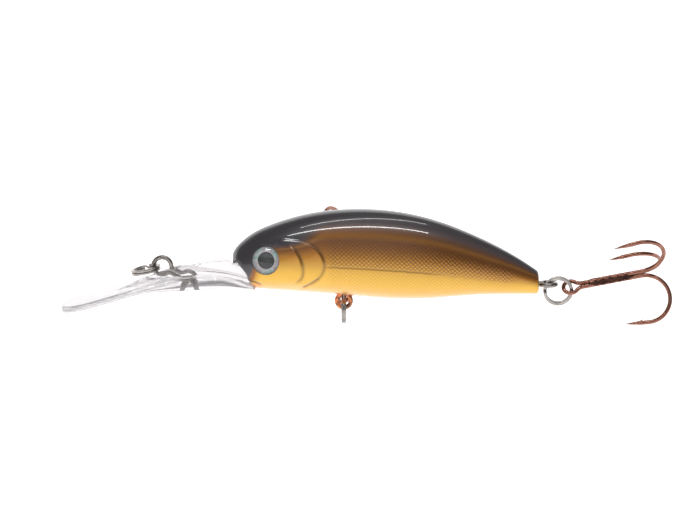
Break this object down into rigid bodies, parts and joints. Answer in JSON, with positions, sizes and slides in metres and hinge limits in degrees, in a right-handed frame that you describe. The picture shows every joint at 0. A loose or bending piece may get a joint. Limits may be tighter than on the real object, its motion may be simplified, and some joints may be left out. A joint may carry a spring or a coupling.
{
  "type": "crankbait lure",
  "caption": "Slim deep-diving crankbait lure with a clear diving lip, gold flanks and a dark back, split rings, and treble hooks at the belly and tail.",
  "frame": {"origin": "centre of the line-tie eye in front of the head", "axes": "+X from the nose to the tail along the body's length, +Y across the body towards its right flank and along the line-tie eye's hole, +Z towards the back"},
  "size_m": [0.1087, 0.0265, 0.0212],
  "materials": {
    "painted_body": "moulded ABS, metallic gold flank fading to a charcoal back and a pale belly under clear coat",
    "clear_lip": "clear moulded polycarbonate, polished",
    "eye_foil": "pearl silver printed foil with a black pupil",
    "clear_dome": "clear cast resin dome",
    "steel_wire": "drawn stainless wire",
    "ring_steel": "nickel-plated flat wire",
    "hook_bronze": "bronzed high-carbon steel wire",
    "ball_steel": "polished bearing steel"
  },
  "bodies": {
    "lure_body": {"left_shell": "painted_body", "right_shell": "painted_body", "left_eye_foil": "eye_foil", "left_eye_dome": "clear_dome", "right_eye_foil": "eye_foil", "right_eye_dome": "clear_dome", "diving_lip": "clear_lip", "line_tie_wire": "steel_wire", "belly_hanger_wire": "steel_wire", "tail_hanger_wire": "steel_wire", "front_ballast_ball": "ball_steel", "rear_ballast_ball": "ball_steel"},
    "line_tie_ring": {"line_tie_split_ring": "ring_steel"},
    "rattle_balls": {"front_rattle_ball": "ball_steel", "rear_rattle_ball": "ball_steel"},
    "belly_ring": {"belly_split_ring": "ring_steel"},
    "belly_treble": {"belly_treble_double": "hook_bronze", "belly_treble_single": "hook_bronze", "belly_treble_braze": "hook_bronze"},
    "tail_ring": {"tail_split_ring": "ring_steel"},
    "tail_treble": {"tail_treble_double": "hook_bronze", "tail_treble_single": "hook_bronze", "tail_treble_braze": "hook_bronze"}
  },
  "joints": [
    {"name": "line_tie_ring_swing", "type": "hinge", "parent": "lure_body", "child": "line_tie_ring", "pos_m": [0, 0, 0], "axis": [0, 1, 0], "range_deg": [-6, 130]},
    {"name": "rattle_balls_roll", "type": "slide", "parent": "lure_body", "child": "rattle_balls", "axis": [0.9945, 0, 0.1045], "range_m": [0, 0.006]},
    {"name": "belly_ring_swing", "type": "hinge", "parent": "lure_body", "child": "belly_ring", "pos_m": [0.0323, 0, -0.00757], "axis": [1, 0, 0], "range_deg": [-130, 0]},
    {"name": "belly_treble_swing", "type": "hinge", "parent": "belly_ring", "child": "belly_treble", "pos_m": [0.0323, 0.0012, -0.00806], "axis": [1, 0, 0], "range_deg": [-75, 0]},
    {"name": "tail_ring_swing", "type": "hinge", "parent": "lure_body", "child": "tail_ring", "pos_m": [0.0701, 0, -0.00327], "axis": [0, -1, 0], "range_deg": [-10, 80]},
    {"name": "tail_treble_swing", "type": "hinge", "parent": "tail_ring", "child": "tail_treble", "pos_m": [0.07057, 0.00014, -0.00456], "axis": [0, -0.9945, -0.1045], "range_deg": [-65, 25]}
  ]
}
